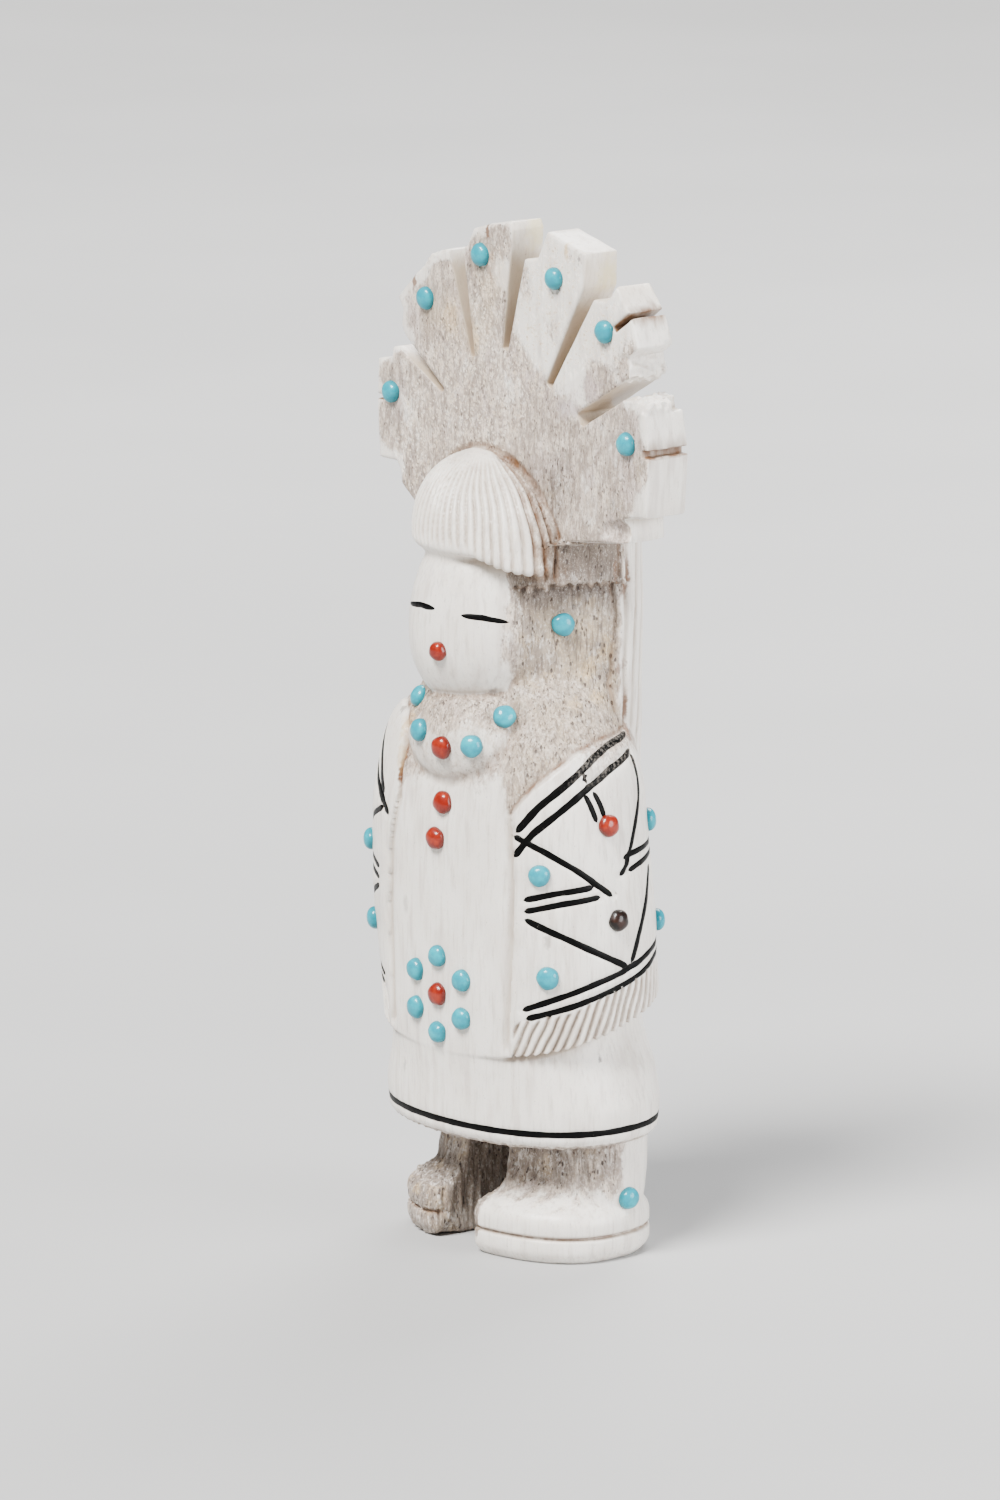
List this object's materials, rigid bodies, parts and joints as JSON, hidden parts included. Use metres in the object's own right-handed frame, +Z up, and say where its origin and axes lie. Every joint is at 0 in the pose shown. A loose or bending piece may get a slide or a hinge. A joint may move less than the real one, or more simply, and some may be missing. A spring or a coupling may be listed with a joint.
{
  "type": "fetish carving",
  "caption": "Small standing maiden carved from antler, with a fan headdress and a shawl, set with stones; stands on its own boots.",
  "frame": {"origin": "centre of the figure's box at the level of its soles", "axes": "+Z up, along the figure's height; the figure faces -Y and its left hand is at +X"},
  "size_m": [0.0426, 0.0254, 0.109],
  "materials": {
    "antler": "polished antler: warm white outside, grey-brown and porous where it is carved deep, with black inked lines",
    "turquoise": "polished turquoise cabochon",
    "coral": "polished coral cabochon",
    "jet": "polished jet cabochon"
  },
  "bodies": {
    "root": {"antler_carving": "antler", "necklace_turquoise_1": "turquoise", "necklace_turquoise_2": "turquoise", "necklace_turquoise_3": "turquoise", "necklace_turquoise_4": "turquoise", "earring_left": "turquoise", "earring_right": "turquoise", "shawl_left_turquoise_1": "turquoise", "shawl_left_turquoise_2": "turquoise", "shawl_right_turquoise_1": "turquoise", "shawl_right_turquoise_2": "turquoise", "shawl_back_left_turquoise_1": "turquoise", "shawl_back_left_turquoise_2": "turquoise", "shawl_back_right_turquoise_1": "turquoise", "shawl_back_right_turquoise_2": "turquoise", "boot_left_turquoise": "turquoise", "boot_right_turquoise": "turquoise", "fan_turquoise_1": "turquoise", "fan_turquoise_2": "turquoise", "fan_turquoise_3": "turquoise", "fan_turquoise_4": "turquoise", "fan_turquoise_5": "turquoise", "fan_turquoise_6": "turquoise", "flower_turquoise_1": "turquoise", "flower_turquoise_2": "turquoise", "flower_turquoise_3": "turquoise", "flower_turquoise_4": "turquoise", "flower_turquoise_5": "turquoise", "flower_turquoise_6": "turquoise", "mouth_coral": "coral", "necklace_coral": "coral", "button_coral_1": "coral", "button_coral_2": "coral", "shawl_left_coral": "coral", "shawl_right_coral": "coral", "flower_coral": "coral", "shawl_left_jet": "jet", "shawl_right_jet": "jet"}
  },
  "joints": []
}
